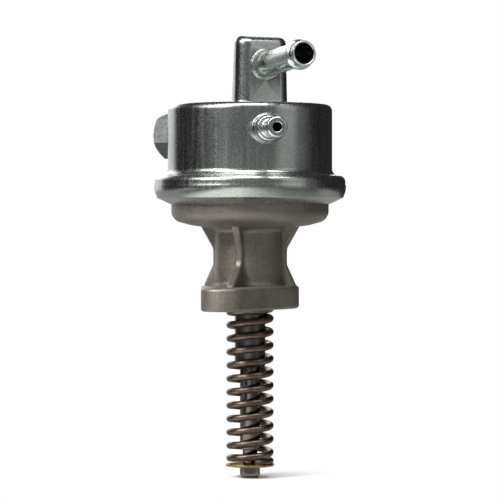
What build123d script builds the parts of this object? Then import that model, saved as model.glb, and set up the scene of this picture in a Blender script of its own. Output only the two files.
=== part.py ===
from build123d import *

import os
from math import cos, pi, radians, sin, sqrt

# Mechanical fuel pump of the long plunger kind, driven by a camshaft lobe.
# Millimetres. The origin is the centre of the mounting flange's underside, on the plunger's axis.
# +Z points from the engine up to the cover, and the two mounting bolts stand on a line along Y.
# A bearing is an angle in degrees seen from above, from -Y (0) through +X (90) to +Y (180).

# Clearances, and how far a cutter runs past what it cuts
press_gap = 0.02          # pressed and brazed pieces
running_gap = 0.05        # sliding pieces, on the radius
crimp_gap = 0.05          # between the rolled edge and the casting
sink = 1.0                # one solid into the other where they are joined
through = 4.0

# Push rod, its guide sleeve and the spring's washer in its groove
rod_r = 3.82
rod_top = 3.0
rod_below = 64.1
rod_bottom = -rod_below
rod_chamfer = 0.7
rod_top_chamfer = 0.4
groove_depth = 1.02
groove_r = rod_r - groove_depth
groove_l = 6.1
head_h = 4.2
sleeve_wall = 1.93
sleeve_r = rod_r + running_gap + sleeve_wall
sleeve_below = 22.3
sleeve_chamfer = 0.5

# Coil springs; the ends are ground flat by this share of the wire's thickness
ground_share = 0.15

# Return spring and its washer
wire = 2.65
coil_clearance = 0.575
coil_r = sleeve_r + coil_clearance + wire / 2
coil_pitch = 5.085
coil_end_bearing = 31.0
washer_t = 0.9
washer_overhang = 0.125
washer_r = coil_r + wire / 2 + washer_overhang
washer_edge = 0.25
washer_slot_bearing = 190.0

# Mounting flange
flange_t = 8.5
bolt_spacing = 68.0
bolt_hole_r = 4.15
lobe_r = 8.1
flange_round = 1.1
spring_seat_depth = 0.8
spring_seat_clearance = 1.1

# Neck and ribs of the casting
neck_r = 13.2
neck_fillet = 2.0
neck_wall = 4.0
neck_bore_r = neck_r - neck_wall
flange_collar = 5.4
flange_centre_r = neck_r + flange_collar
rib_t = 2.9
rib_round = 0.8
rib_waist_h = 1.2
rib_waist_r = neck_r + rib_waist_h
rib_waist_above_flange = 8.0
rib_waist_below_bowl = 7.6
rib_waist_round = 4.0
rib_head = 6.0
rib_top_r = neck_r + rib_head
rib_foot_h = 0.6
side_foot_inset = 0.7
side_foot_r = flange_centre_r - side_foot_inset
bolt_foot_gap = 8.5
bolt_foot_r = bolt_spacing / 2 - bolt_foot_gap
bore_ledge = 13.0
sleeve_top = bore_ledge - sleeve_chamfer
breather_r = 1.5
breather_bearing = 225.0

# Drawn cover: its drum sets the widths of all that it closes
sheet = 1.4
drum_r = 31.2
drum_h = 27.0
drum_top_round = 2.5
drum_base_round = 1.6
tier_round = 1.5
tier_step = 0.25
tier_drop = 3.5
curl_round = 2.0

# Bowl and rim of the casting
rim_land = 3.85
rim_r = drum_r + rim_land
rim_top = 46.4
rim_edge_t = 3.4
bowl_inset = 5.15
bowl_r = rim_r - bowl_inset
bowl_h = 16.2
bowl_under_z = rim_top - bowl_h
bowl_knee = 7.4
bowl_knee_r = bowl_r - bowl_knee
bowl_knee_rise = 1.3
bowl_knee_z = bowl_under_z + bowl_knee_rise
bowl_corner_rise = 3.3
bowl_corner_z = bowl_under_z + bowl_corner_rise
bowl_round = 4.5
bowl_wall = 3.1
bowl_in_r = bowl_r - bowl_wall
bowl_floor_t = 4.4
bowl_floor_z = bowl_under_z + bowl_floor_t
bowl_floor_rise = 1.6
bowl_floor_round = 3.0
lip_slope = 0.444
lip_gap = 0.4
lip_thinning = 0.2
lip_end_r = bowl_r + lip_gap

# Clamped stack on the casting's rim
membrane_t = 0.8
valve_flange_t = 1.0
gasket_t = 0.7
stack_inset = 0.5
stack_r = rim_r - stack_inset
stack_top = rim_top + membrane_t + valve_flange_t + gasket_t
flange_top = stack_top + sheet
drum_top = flange_top + drum_h

# Tower of the cover and the outlet tube in it
outlet_bearing = 42.0
tower_offset = 9.0
tower_r = 10.7
tower_flat = 4.85
tower_corner = 4.6
tower_h = 25.8
tower_top = drum_top + tower_h
tower_round = 2.8
tower_shrink = 0.6
tower_lean = 1.0
tower_crown_r = 26.0
tower_crown_at = 4.5
tower_base_fillet = 1.2
collar_r = 6.1
collar_h = 1.5
collar_edge = 0.6
outlet_drop = 11.4
outlet_z = tower_top - outlet_drop
outlet_rise = 4.3
outlet_r = 4.76
outlet_wall = 0.9
outlet_length = 33.0
outlet_inside = 2.0
outlet_bead_h = 0.87
outlet_bead_r = outlet_r + outlet_bead_h
outlet_bead_from_tip = 4.2
outlet_bead_l = 2.4
outlet_bead_flat = 0.84
bead_round = 0.5
tube_edge = 0.35

# Vapour return nipple
return_bearing = 29.0
return_drop = 10.0
return_z = drum_top - return_drop
return_boss_r = 5.4
return_boss_h = 0.9
return_shoulder_r = 4.7
return_shoulder_l = 2.5
return_shoulder_round = 0.8
return_r = 3.1
return_length = 16.5
return_bead_r = 3.9
return_bead_l = 2.4
return_bead_slope = 0.5
return_tip_round = 0.9
return_bore_r = 1.75
return_spigot_r = 2.6
return_inside = 1.0

# Inlet fitting
inlet_bearing = -109.0
inlet_drop = 11.1
inlet_z = drum_top - inlet_drop
inlet_flats = 16.0
inlet_turn = 12.0
inlet_length = 9.8
inlet_reach = drum_r + inlet_length
inlet_chamfer = 1.1
inlet_thread_r = 5.7
inlet_thread_floor = 0.8
inlet_thread_l = inlet_length - inlet_thread_floor
inlet_mouth = 0.5
inlet_relief_r = 6.1
inlet_relief_l = 1.7
inlet_seat_r = 4.4
inlet_passage_r = 3.0
inlet_spigot_r = 6.9
inlet_inside = 0.5
inlet_spigot_end = drum_r - sheet - inlet_inside

# Check valves, both alike; heights count from the deck's face on the side where the valve opens
valve_r = 8.0
valve_lip_w = 0.5
valve_lip_r = valve_r + valve_lip_w
valve_lip_t = 0.8
valve_post_r = 1.0
valve_post_h = 3.0
valve_port_r = 1.3
valve_port_ring = 3.9
valve_ports = 6
disc_overlap = 1.0
disc_r = valve_port_ring + valve_port_r + disc_overlap
disc_t = 0.8
cap_inset = 0.3
cap_r = valve_r - cap_inset
cap_wall = 0.6
cap_h = 4.3
cap_top_t = 0.8
cap_round = 0.8
cap_windows = 4
cap_window_w = 5.0
cap_window_h = 2.2
cap_window_sill = 0.6
cap_vent_offset = 0.6
valve_wire = 0.5
valve_coil_r = 2.6
valve_turns = 2.5

# Valve plate
plate_gap = 0.6
plate_skirt_r = drum_r - sheet - plate_gap
plate_skirt_wall = 2.6
plate_skirt_in = plate_skirt_r - plate_skirt_wall
plate_skirt_h = 6.3
plate_round = 0.8
plate_floor_round = 1.5
deck_low = stack_top + plate_skirt_h
deck_t = 3.0
deck_top = deck_low + deck_t
partition_t = 2.4
partition_offset = 2.6
partition_end_gap = 1.0
partition_gap = 0.9
partition_seal_t = 0.8
seal_overlap = 3.0
seal_side_gap = 0.1
valve_offset = partition_offset + partition_t / 2 + valve_lip_r
gasket_clearance = 1.4

# Diaphragm, its plates and stem
stroke = 6.5
top_clearance = 0.1
membrane_rest = rim_top - stroke + top_clearance
membrane_edge_round = 1.4
membrane_clamp_gap = 1.3
membrane_top_gap = 1.8
membrane_top_round = 2.2
membrane_fold = 6.2
membrane_turn_r = bowl_in_r - membrane_fold
membrane_turn_step = 0.5
membrane_turn_round = 0.6
upper_plate_inset = 1.6
upper_plate_r = membrane_turn_r - upper_plate_inset
lower_plate_inset = 1.0
lower_plate_r = upper_plate_r - lower_plate_inset
plate_t = 1.0
plate_lip = 1.0
plate_lip_t = 0.8
plate_lip_round = 0.4
plate_hub_h = 2.0
plate_hub_chamfer = 0.4
stem_r = 2.45
stem_neck_r = 2.0
stem_in_rod = 12.0
stem_bottom = rod_top - stem_in_rod
stem_chamfer = 0.5
socket_gap = 0.15
socket_r = stem_r + socket_gap
socket_depth = 15.0
link_pin_r = 1.0
link_pin_depth = 6.0
link_pin_z = rod_top - link_pin_depth
link_pin_inset = 0.1
link_pin_chamfer = 0.2
slot_gap = 0.1
slot_w = 2.4
slot_above_pin = 8.5
stem_washer_r = 4.6
stem_washer_t = 1.0
rivet_r = 3.3
rivet_h = 1.4
rivet_round = 0.9

# Stem seal and diaphragm spring
seal_retainer_wall = 0.9
seal_retainer_h = 6.0
seal_retainer_top = bore_ledge + seal_retainer_h
seal_retainer_round = 1.0
seal_retainer_gap = 0.8
seal_clearance = 0.1
seal_foot_t = 2.0
seal_lip_t = 1.6
seal_top_gap = 0.2
breather_z = seal_retainer_top + seal_retainer_h
diaphragm_wire = 1.8
diaphragm_coil_gap = 1.2
diaphragm_coil_r = neck_bore_r - diaphragm_coil_gap - diaphragm_wire / 2
diaphragm_turns = 5.0
plate_hub_gap = 0.8
plate_hub_r = diaphragm_coil_r - diaphragm_wire / 2 - plate_hub_gap


def section(*corners):
    """Closed outline. A corner is (x, y), or (x, y, radius) where it is rounded."""
    face = make_face(Polyline(*[(c[0], c[1]) for c in corners], close=True))
    for corner in corners:
        if len(corner) == 3:
            near = face.vertices().sort_by_distance(Vector(corner[0], corner[1]))[0]
            face = fillet(near, corner[2])
    return face


def turned(*corners):
    """Solid turned about Z from an outline in radius and height."""
    return revolve(Plane.XZ * section(*corners), Axis.Z)


def toward(bearing):
    return Vector(sin(radians(bearing)), -cos(radians(bearing)), 0)


def aimed(solid, bearing):
    """Turns a solid that was made along +X to a bearing."""
    return Rot(0, 0, bearing - 90) * solid


def coil(mean_r, wire_d, low, high, turns, start_bearing=0.0):
    """Compression spring with closed, ground ends that stands from low to high."""
    wire_r = wire_d / 2
    ground = wire_d * ground_share
    first = low - ground + wire_r
    rise = high - low - wire_d + 2 * ground
    closing = wire_d * (1 - ground_share)
    open_turns = turns - 2
    steps = 10
    points = []
    for i in range(int(turns * steps) + 1):
        turn = i / steps
        if turn <= 1:
            z = closing * turn ** 2
        elif turn >= turns - 1:
            z = rise - closing * (turns - turn) ** 2
        else:
            z = closing + (rise - 2 * closing) * (turn - 1) / open_turns
        angle = radians(start_bearing - 90) + 2 * pi * turn
        points.append((mean_r * cos(angle), mean_r * sin(angle), first + z))
    path = Spline(*points)
    spring = sweep(Plane(origin=path @ 0, z_dir=path % 0) * Circle(wire_r), path)
    slab = Pos(0, 0, (low + high) / 2) * Cylinder(mean_r + wire_d, high - low)
    return spring & slab


def tower_form(inset, bottom):
    """Outer form of the tower, or its hollow when inset is the sheet's thickness.
    The round back narrows and leans towards the upright flat, and the crown slopes down to it."""
    rings = []
    for z in (bottom, tower_top - inset):
        share = (z - drum_top) / tower_h
        centre = tower_offset + share * tower_lean
        rings.append(Pos(centre, 0, z) * Circle(tower_r - inset - share * tower_shrink))
    form = loft(rings, ruled=True)
    flat_x = tower_offset + tower_flat - inset
    form = form - Pos(flat_x + tower_r, 0, tower_top) * Box(2 * tower_r, 4 * tower_r, 2 * tower_top)
    middle_z = (bottom + tower_top) / 2
    upright = [
        edge
        for edge in form.edges()
        if abs(edge.center().Z - middle_z) < (tower_top - bottom) / 4
        and edge.center().X > flat_x - tier_step
    ]
    form = fillet(upright, tower_corner - inset)
    crown_z = tower_top - inset - tower_crown_r
    crown = Pos(tower_crown_at, 0, crown_z) * Rot(90, 0, 0) * Cylinder(tower_crown_r, 4 * tower_r)
    below = Pos(tower_offset, 0, crown_z / 2) * Box(4 * tower_r, 4 * tower_r, crown_z)
    form = form & (crown + below)
    top_edges = [edge for edge in form.edges() if edge.bounding_box().min.Z > outlet_z + collar_r]
    return fillet(top_edges, tower_round - inset)


def outlet_plane():
    """Plane across the outlet tube where it leaves the tower's flat, for parts made along +X."""
    rise = radians(outlet_rise)
    return Plane(origin=(tower_offset + tower_flat, 0, outlet_z), z_dir=(cos(rise), 0, sin(rise)))


def return_plane():
    return Plane(origin=(drum_r, 0, return_z), z_dir=(1, 0, 0))


def inlet_plane():
    return Plane(origin=(0, 0, inlet_z), z_dir=(1, 0, 0))


def make_top_cover():
    tier_r = rim_r + crimp_gap + sheet - tier_step
    curl_r = tier_r + tier_step
    inner_r = curl_r - sheet
    seam_z = flange_top - tier_drop
    lip_inner_z = rim_top - rim_edge_t - crimp_gap
    lip_end_top = lip_inner_z - lip_slope * (inner_r - lip_end_r)
    lip_drop = (sheet - lip_thinning) * sqrt(1 + lip_slope ** 2)
    lip_end_low = lip_end_top - lip_drop
    curl_low = lip_end_low + lip_slope * (curl_r - lip_end_r)
    cover = turned(
        (0, drum_top),
        (drum_r, drum_top, drum_top_round),
        (drum_r, flange_top, drum_base_round),
        (tier_r, flange_top, tier_round),
        (tier_r, seam_z),
        (curl_r, seam_z - tier_step),
        (curl_r, curl_low, curl_round),
        (lip_end_r, lip_end_low),
        (lip_end_r, lip_end_top),
        (inner_r, lip_inner_z),
        (inner_r, stack_top),
        (drum_r - sheet, stack_top, drum_base_round + sheet),
        (drum_r - sheet, drum_top - sheet, drum_top_round - sheet),
        (0, drum_top - sheet),
    )
    cover = aimed(cover, outlet_bearing)
    tower = aimed(tower_form(0, drum_top - sheet / 2), outlet_bearing)
    cover = cover + tower
    centre = toward(outlet_bearing) * tower_offset
    base_edges = [
        edge
        for edge in cover.edges()
        if abs(edge.center().Z - drum_top) < running_gap
        and (Vector(edge.center().X, edge.center().Y) - centre).length < tower_r + sink
    ]
    cover = fillet(base_edges, tower_base_fillet)

    # Formed collar round the outlet tube
    collar = Cylinder(collar_r, collar_h + sheet / 2, align=(Align.CENTER, Align.CENTER, Align.MAX))
    collar = outlet_plane() * (Pos(0, 0, collar_h) * collar)
    cover = cover + aimed(collar, outlet_bearing)
    flat_point = toward(outlet_bearing) * (tower_offset + tower_flat) + Vector(0, 0, outlet_z)
    tip_point = flat_point + toward(outlet_bearing) * collar_h
    rings = cover.edges().filter_by(GeomType.CIRCLE)
    tip_edge = min(rings, key=lambda edge: (edge.center() - tip_point).length)
    cover = fillet(tip_edge, collar_edge)

    # Boss round the return nipple
    boss = Cone(return_boss_r + return_boss_h, return_boss_r, return_boss_h + sheet / 2)
    boss = return_plane() * (Pos(0, 0, (return_boss_h - sheet / 2) / 2) * boss)
    cover = cover + aimed(boss, return_bearing)

    # Hollow of the tower, and the three holes
    cover = cover - aimed(tower_form(sheet, drum_top - 2 * sheet), outlet_bearing)
    tube_hole = Cylinder(outlet_r + press_gap, 6 * sheet + 2 * collar_h)
    cover = cover - aimed(outlet_plane() * tube_hole, outlet_bearing)
    nipple_hole = Cylinder(return_spigot_r + press_gap, 6 * sheet)
    cover = cover - aimed(return_plane() * nipple_hole, return_bearing)
    inlet_hole = Pos(0, 0, drum_r) * Cylinder(inlet_spigot_r + press_gap, 6 * sheet)
    cover = cover - aimed(inlet_plane() * inlet_hole, inlet_bearing)
    return cover


def make_outlet_tube():
    tip = outlet_length
    back = -sheet - outlet_inside
    bore_r = outlet_r - outlet_wall
    bead_mid = tip - outlet_bead_from_tip
    bead_half = outlet_bead_l / 2
    tube = turned(
        (bore_r, back),
        (outlet_r, back),
        (outlet_r, bead_mid - bead_half, bead_round),
        (outlet_bead_r, bead_mid - outlet_bead_flat / 2, bead_round),
        (outlet_bead_r, bead_mid + outlet_bead_flat / 2, bead_round),
        (outlet_r, bead_mid + bead_half, bead_round),
        (outlet_r, tip, tube_edge),
        (bore_r, tip, tube_edge),
    )
    return aimed(outlet_plane() * tube, outlet_bearing)


def make_return_nipple():
    shoulder = return_boss_h + return_shoulder_l
    bead = return_length - return_bead_l
    body = turned(
        (return_bore_r, -sheet - return_inside),
        (return_spigot_r, -sheet - return_inside),
        (return_spigot_r, return_boss_h),
        (return_shoulder_r, return_boss_h),
        (return_shoulder_r, shoulder, return_shoulder_round),
        (return_r, shoulder, bead_round),
        (return_r, bead, bead_round),
        (return_bead_r, bead + return_bead_slope, tube_edge),
        (return_bead_r, return_length, return_tip_round),
        (return_bore_r, return_length, tube_edge),
    )
    return aimed(return_plane() * body, return_bearing)


def make_inlet_fitting():
    face = inlet_reach
    corner_r = inlet_flats / sqrt(3)
    hexagon = RegularPolygon(inlet_flats / 2, 6, major_radius=False, rotation=inlet_turn)
    start = drum_r - 3 * sheet
    body = extrude(Pos(0, 0, start) * hexagon, amount=face - start)
    dressing = turned(
        (0, start - sink),
        (corner_r + sink, start - sink),
        (corner_r + sink, face - inlet_chamfer - sink),
        (corner_r - 2 * inlet_chamfer, face),
        (0, face),
    )
    body = inlet_plane() * (body & dressing)
    drum = Cylinder(drum_r, 4 * drum_top)
    body = body - drum
    spigot = Pos(0, 0, inlet_spigot_end) * Cylinder(
        inlet_spigot_r, drum_r + sink - inlet_spigot_end, align=(Align.CENTER, Align.CENTER, Align.MIN)
    )
    body = body + inlet_plane() * spigot
    thread_end = face - inlet_thread_l
    bore = turned(
        (0, face + sink),
        (inlet_thread_r + inlet_mouth, face + sink),
        (inlet_thread_r + inlet_mouth, face),
        (inlet_thread_r, face - inlet_mouth),
        (inlet_thread_r, thread_end + inlet_relief_l),
        (inlet_relief_r, thread_end + inlet_relief_l),
        (inlet_relief_r, thread_end),
        (inlet_passage_r, thread_end),
        (inlet_passage_r, inlet_spigot_end - sink),
        (0, inlet_spigot_end - sink),
    )
    seat = turned(
        (inlet_passage_r, thread_end),
        (inlet_seat_r, thread_end),
        (inlet_passage_r, thread_end + (inlet_seat_r - inlet_passage_r)),
    )
    body = body - inlet_plane() * bore
    body = body + inlet_plane() * seat
    return aimed(body, inlet_bearing)


def rib(foot_r):
    """One rib of the casting along +X, from the flange up to the bowl."""
    root = neck_r - neck_wall / 2
    top = bowl_knee_z + rib_foot_h
    outline = section(
        (root, flange_t - sink),
        (foot_r, flange_t - sink),
        (foot_r, flange_t + rib_foot_h, rib_foot_h / 2),
        (rib_waist_r, flange_t + rib_waist_above_flange, rib_waist_round),
        (rib_waist_r, bowl_under_z - rib_waist_below_bowl, rib_waist_round),
        (rib_top_r, bowl_under_z + rib_foot_h),
        (rib_top_r, top),
        (root, top),
    )
    solid = extrude(Plane.XZ * outline, amount=rib_t / 2, both=True)
    edges = [
        edge
        for edge in solid.edges()
        if abs(abs(edge.center().Y) - rib_t / 2) < press_gap
        and edge.center().X > rib_waist_r - rib_foot_h
        and flange_t < edge.center().Z < bowl_under_z
    ]
    return fillet(edges, rib_round)


def make_lower_body():
    edge_low = rim_top - rim_edge_t
    neck_low = edge_low - lip_slope * (rim_r - bowl_r)
    outside = turned(
        (0, sink),
        (flange_centre_r - 2 * flange_round, sink),
        (flange_centre_r - 2 * flange_round, flange_t),
        (neck_r, flange_t, neck_fillet),
        (neck_r, bowl_under_z, neck_fillet),
        (bowl_knee_r, bowl_knee_z),
        (bowl_r, bowl_corner_z, bowl_round),
        (bowl_r, neck_low),
        (rim_r, edge_low),
        (rim_r, rim_top),
        (0, rim_top),
    )
    lobes = Circle(flange_centre_r) + [Pos(0, y) * Circle(lobe_r) for y in (-bolt_spacing / 2, bolt_spacing / 2)]
    flange = extrude(make_hull(lobes.edges()), amount=flange_t)
    flange = fillet(flange.edges().filter_by(Plane.XY), flange_round)
    casting = outside + flange
    for bearing in (0, 180):
        casting = casting + aimed(rib(bolt_foot_r), bearing)
    for bearing in (90, 270):
        casting = casting + aimed(rib(side_foot_r), bearing)

    inside = turned(
        (0, -sink),
        (sleeve_r + press_gap, -sink),
        (sleeve_r + press_gap, bore_ledge),
        (neck_bore_r, bore_ledge),
        (neck_bore_r, bowl_floor_z, flange_round),
        (bowl_in_r, bowl_floor_z + bowl_floor_rise, bowl_floor_round),
        (bowl_in_r, rim_top + sink),
        (0, rim_top + sink),
    )
    casting = casting - inside
    for y in (-bolt_spacing / 2, bolt_spacing / 2):
        casting = casting - Pos(0, y, flange_t / 2) * Cylinder(bolt_hole_r, 2 * flange_t)
    seat_r = coil_r + wire / 2 + spring_seat_clearance
    casting = casting - Cylinder(seat_r, 2 * spring_seat_depth)
    breather = Plane(origin=(0, 0, breather_z), z_dir=(1, 0, 0)) * Cylinder(
        breather_r, 2 * neck_r, align=(Align.CENTER, Align.CENTER, Align.MIN)
    )
    return casting - aimed(breather, breather_bearing)


def make_guide_sleeve():
    bore_r = rod_r + running_gap
    return turned(
        (bore_r, -sleeve_below),
        (sleeve_r - sleeve_chamfer, -sleeve_below),
        (sleeve_r, sleeve_chamfer - sleeve_below),
        (sleeve_r, sleeve_top - sleeve_chamfer),
        (sleeve_r - sleeve_chamfer, sleeve_top),
        (bore_r, sleeve_top),
    )


def make_push_rod():
    head_top = rod_bottom + head_h
    groove_top = head_top + groove_l
    rod = turned(
        (0, rod_bottom),
        (rod_r - rod_chamfer, rod_bottom),
        (rod_r, rod_bottom + rod_chamfer),
        (rod_r, head_top),
        (groove_r, head_top),
        (groove_r, groove_top),
        (rod_r, groove_top + rod_top_chamfer),
        (rod_r, rod_top - rod_top_chamfer),
        (rod_r - rod_top_chamfer, rod_top),
        (socket_r, rod_top),
        (socket_r, rod_top - socket_depth),
        (0, rod_top - socket_depth - socket_r / 2),
    )
    pin_hole = Pos(0, 0, link_pin_z) * Rot(0, 90, 0) * Cylinder(link_pin_r + press_gap, 4 * rod_r)
    return rod - pin_hole


def make_link_pin():
    pin = Cylinder(link_pin_r, 2 * (rod_r - link_pin_inset))
    pin = chamfer(pin.edges(), link_pin_chamfer)
    return Pos(0, 0, link_pin_z) * Rot(0, 90, 0) * pin


def make_spring_retainer():
    """Washer with a slot, slid sideways into the rod's groove."""
    low = rod_bottom + head_h
    disc = turned(
        (0, low),
        (washer_r, low, washer_edge),
        (washer_r, low + washer_t, washer_edge),
        (0, low + washer_t),
    )
    hole_r = groove_r + press_gap
    disc = disc - Pos(0, 0, low) * Cylinder(hole_r, 4 * washer_t)
    slot = Pos(washer_r, 0, low) * Box(2 * washer_r, 2 * hole_r, 4 * washer_t)
    return aimed(disc - slot, washer_slot_bearing)


def make_return_spring():
    low = rod_bottom + head_h + washer_t
    high = spring_seat_depth
    turns = 2 + (high - low - wire * (3 - 4 * ground_share)) / coil_pitch
    return coil(coil_r, wire, low, high, turns, coil_end_bearing)


def make_diaphragm():
    low = membrane_rest
    hole_r = stem_neck_r + press_gap
    return turned(
        (hole_r, low),
        (membrane_turn_r + membrane_turn_step, low, membrane_edge_round),
        (bowl_in_r - membrane_clamp_gap, rim_top, membrane_edge_round),
        (stack_r, rim_top),
        (stack_r, rim_top + membrane_t),
        (bowl_in_r - membrane_top_gap, rim_top + membrane_t, membrane_top_round),
        (membrane_turn_r, low + membrane_t, membrane_turn_round),
        (hole_r, low + membrane_t),
    )


def make_upper_plate():
    low = membrane_rest + membrane_t
    hole_r = stem_neck_r + press_gap
    return turned(
        (hole_r, low),
        (upper_plate_r, low, plate_lip_t),
        (upper_plate_r, low + plate_t + plate_lip),
        (upper_plate_r - plate_lip_t, low + plate_t + plate_lip),
        (upper_plate_r - plate_lip_t - plate_lip_round, low + plate_t),
        (hole_r, low + plate_t),
    )


def make_lower_plate():
    top = membrane_rest
    hole_r = stem_neck_r + press_gap
    return turned(
        (hole_r, top),
        (lower_plate_r, top, plate_lip_t),
        (lower_plate_r, top - plate_t - plate_lip),
        (lower_plate_r - plate_lip_t, top - plate_t - plate_lip),
        (lower_plate_r - plate_lip_t - plate_lip_round, top - plate_t),
        (plate_hub_r, top - plate_t),
        (plate_hub_r - plate_hub_chamfer, top - plate_t - plate_hub_h),
        (hole_r, top - plate_t - plate_hub_h),
    )


def make_stem():
    shoulder = membrane_rest - plate_t - plate_hub_h
    rivet_low = membrane_rest + membrane_t + plate_t + stem_washer_t
    stem = turned(
        (0, stem_bottom),
        (stem_r - stem_chamfer, stem_bottom),
        (stem_r, stem_bottom + stem_chamfer),
        (stem_r, shoulder),
        (stem_neck_r, shoulder),
        (stem_neck_r, rivet_low),
        (rivet_r, rivet_low),
        (rivet_r, rivet_low + rivet_h, rivet_round),
        (0, rivet_low + rivet_h),
    )
    slot_low = link_pin_z - link_pin_r - slot_gap
    slot_top = link_pin_z + slot_above_pin
    slot_mid = (slot_low + slot_top) / 2
    slot = extrude(
        Plane.YZ * (Pos(0, slot_mid) * SlotOverall(slot_top - slot_low, slot_w, rotation=90)),
        amount=2 * stem_r,
        both=True,
    )
    return stem - slot


def make_stem_washer():
    low = membrane_rest + membrane_t + plate_t
    return turned(
        (stem_neck_r + press_gap, low),
        (stem_washer_r, low),
        (stem_washer_r, low + stem_washer_t, washer_edge),
        (stem_neck_r + press_gap, low + stem_washer_t),
    )


def make_stem_seal():
    outer = neck_bore_r - press_gap - seal_retainer_wall - seal_clearance
    top = seal_retainer_top - seal_retainer_wall
    inner = stem_r + running_gap
    return turned(
        (inner, bore_ledge),
        (outer, bore_ledge),
        (outer, bore_ledge + seal_foot_t),
        (inner + seal_lip_t, bore_ledge + seal_foot_t, bead_round),
        (inner + seal_lip_t, top - seal_top_gap),
        (inner, top - seal_top_gap),
    )


def make_seal_retainer():
    outer = neck_bore_r - press_gap
    top = seal_retainer_top
    return turned(
        (outer - seal_retainer_wall, bore_ledge),
        (outer, bore_ledge),
        (outer, top, seal_retainer_round),
        (stem_r + seal_retainer_gap, top),
        (stem_r + seal_retainer_gap, top - seal_retainer_wall),
        (outer - seal_retainer_wall, top - seal_retainer_wall),
    )


def make_diaphragm_spring():
    high = membrane_rest - plate_t
    return coil(diaphragm_coil_r, diaphragm_wire, seal_retainer_top, high, diaphragm_turns)


def make_valve_body():
    flange_low = rim_top + membrane_t
    flange_high = flange_low + valve_flange_t
    plate = turned(
        (0, deck_low),
        (plate_skirt_in, deck_low, plate_floor_round),
        (plate_skirt_in, flange_low),
        (stack_r, flange_low),
        (stack_r, flange_high),
        (plate_skirt_r, flange_high),
        (plate_skirt_r, deck_top, plate_round),
        (0, deck_top),
    )
    wall_top = drum_top - sheet - partition_gap
    wall = Pos(-partition_offset, 0, (deck_top - sink + wall_top) / 2) * Box(
        partition_t, 2 * plate_skirt_r, wall_top - deck_top + sink
    )
    reach = Cylinder(plate_skirt_r - partition_end_gap, 4 * drum_top)
    plate = plate + (wall & reach)
    for side in (-1, 1):
        hole = Pos(side * valve_offset, 0, deck_low) * Cylinder(valve_r + press_gap, through * deck_t)
        plate = plate - hole
    return aimed(plate, outlet_bearing)


def make_cover_gasket():
    low = rim_top + membrane_t + valve_flange_t
    inner = plate_skirt_r + gasket_clearance
    return turned((inner, low), (stack_r, low), (stack_r, low + gasket_t), (inner, low + gasket_t))


def make_partition_seal():
    """Rubber channel over the partition's top and ends."""
    ceiling = drum_top - sheet
    outer_w = partition_t + 2 * partition_seal_t
    low = deck_top
    block = Pos(-partition_offset, 0, (low + ceiling) / 2) * Box(outer_w, 4 * drum_r, ceiling - low)
    reach = Pos(0, 0, (low + ceiling) / 2) * Cylinder(drum_r - sheet - seal_side_gap, ceiling - low)
    top_edge = reach.edges().filter_by(Plane.XY).sort_by(Axis.Z)[-1]
    rounded = fillet(top_edge, drum_top_round - sheet + 2 * seal_side_gap)
    block = block & rounded
    wall_top = drum_top - sheet - partition_gap
    keep_low = wall_top - seal_overlap
    keep_r = plate_skirt_r - partition_end_gap - seal_overlap
    window = Pos(-partition_offset, 0, (low + keep_low) / 2) * Box(
        2 * outer_w, 2 * keep_r, keep_low - low
    )
    groove = Pos(-partition_offset, 0, (low + wall_top) / 2) * Box(
        partition_t + 2 * press_gap, 4 * drum_r, wall_top - low + 2 * press_gap
    )
    groove = groove & Cylinder(plate_skirt_r - partition_end_gap + press_gap, 4 * drum_top)
    return aimed(block - window - groove, outlet_bearing)


def place_valve(piece, side):
    """side 1 is the outlet valve, which opens upward; side -1 the inlet valve, turned over."""
    if side > 0:
        return aimed(Pos(valve_offset, 0, deck_top) * piece, outlet_bearing)
    return aimed(Pos(-valve_offset, 0, deck_low) * Rot(180, 0, 0) * piece, outlet_bearing)


def make_valve_seat():
    seat = turned(
        (0, -deck_t),
        (valve_r, -deck_t),
        (valve_r, 0),
        (valve_lip_r, 0),
        (valve_lip_r, valve_lip_t),
        (valve_post_r, valve_lip_t),
        (valve_post_r, valve_post_h),
        (0, valve_post_h),
    )
    for port in PolarLocations(valve_port_ring, valve_ports):
        seat = seat - port * Cylinder(valve_port_r, through * deck_t)
    return seat


def make_valve_disc():
    low = valve_lip_t
    hole_r = valve_post_r + running_gap
    return turned((hole_r, low), (disc_r, low), (disc_r, low + disc_t), (hole_r, low + disc_t))


def make_valve_spring():
    low = valve_lip_t + disc_t
    high = valve_lip_t + cap_h - cap_top_t
    return coil(valve_coil_r, valve_wire, low, high, valve_turns)


def make_valve_cap():
    low = valve_lip_t
    high = low + cap_h
    cap = turned(
        (cap_r - cap_wall, low),
        (cap_r, low),
        (cap_r, high, cap_round),
        (0, high),
        (0, high - cap_top_t),
        (cap_r - cap_wall, high - cap_top_t),
    )
    for window in PolarLocations(cap_r, cap_windows):
        opening = Box(through, cap_window_w, cap_window_h)
        cap = cap - window * Pos(0, 0, low + cap_window_sill + cap_window_h / 2) * opening
    for vent in PolarLocations(valve_port_ring + cap_vent_offset, cap_windows, start_angle=45):
        cap = cap - vent * Pos(0, 0, high) * Cylinder(valve_port_r, through * cap_top_t)
    return cap


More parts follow.
